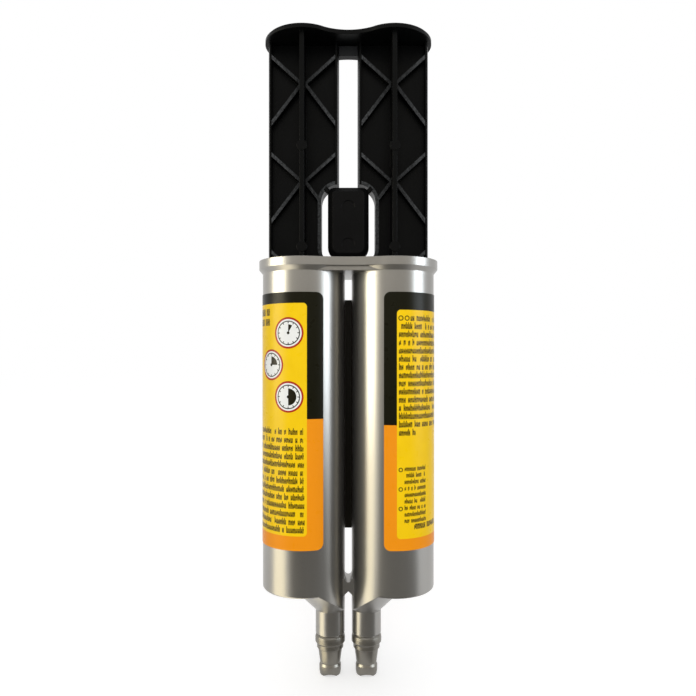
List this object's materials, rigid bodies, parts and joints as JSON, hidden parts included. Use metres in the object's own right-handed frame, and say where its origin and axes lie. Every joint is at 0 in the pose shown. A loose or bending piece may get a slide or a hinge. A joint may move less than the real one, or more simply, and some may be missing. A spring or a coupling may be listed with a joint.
{
  "type": "epoxy syringe",
  "caption": "Twin-barrel adhesive syringe with a one-piece double plunger, snap-off nozzle tips and a stored closing cap.",
  "frame": {"origin": "centre of the standing face, midway between the ends of the two snap-off tips", "axes": "+Z along the barrels towards the thumb pad, X from barrel to barrel, -Y towards the side that the stored cap shows on"},
  "size_m": [0.0444, 0.0222, 0.1573],
  "materials": {
    "barrel_plastic": "silver-pigmented moulded plastic, satin gloss",
    "tip_plastic": "silver-pigmented moulded plastic, satin gloss",
    "label_film": "printed plastic film in black, yellow and orange",
    "plunger_plastic": "black moulded plastic, satin",
    "cap_plastic": "black moulded plastic, satin",
    "piston_plastic": "natural moulded plastic, waxy"
  },
  "bodies": {
    "barrels": {"twin_barrel": "barrel_plastic", "wrap_label": "label_film"},
    "plunger_set": {"plunger": "plunger_plastic", "piston_left": "piston_plastic", "piston_right": "piston_plastic"},
    "cap_body": {"cap": "cap_plastic"},
    "tip_left_body": {"tip_left": "tip_plastic"},
    "tip_right_body": {"tip_right": "tip_plastic"}
  },
  "joints": [
    {"name": "plunger_push", "type": "slide", "parent": "barrels", "child": "plunger_set", "axis": [0, 0, -1], "range_m": [0, 0.0491]},
    {"name": "cap_pull", "type": "slide", "parent": "barrels", "child": "cap_body", "axis": [0, -1, 0], "range_m": [0, 0.02]},
    {"name": "tip_left_off", "type": "slide", "parent": "barrels", "child": "tip_left_body", "axis": [0, 0, -1], "range_m": [0, 0.015]},
    {"name": "tip_right_off", "type": "slide", "parent": "barrels", "child": "tip_right_body", "axis": [0, 0, -1], "range_m": [0, 0.015]}
  ],
  "couplings": [
    {"joint": "cap_pull", "follows": "plunger_push", "ratio": 0.4}
  ]
}
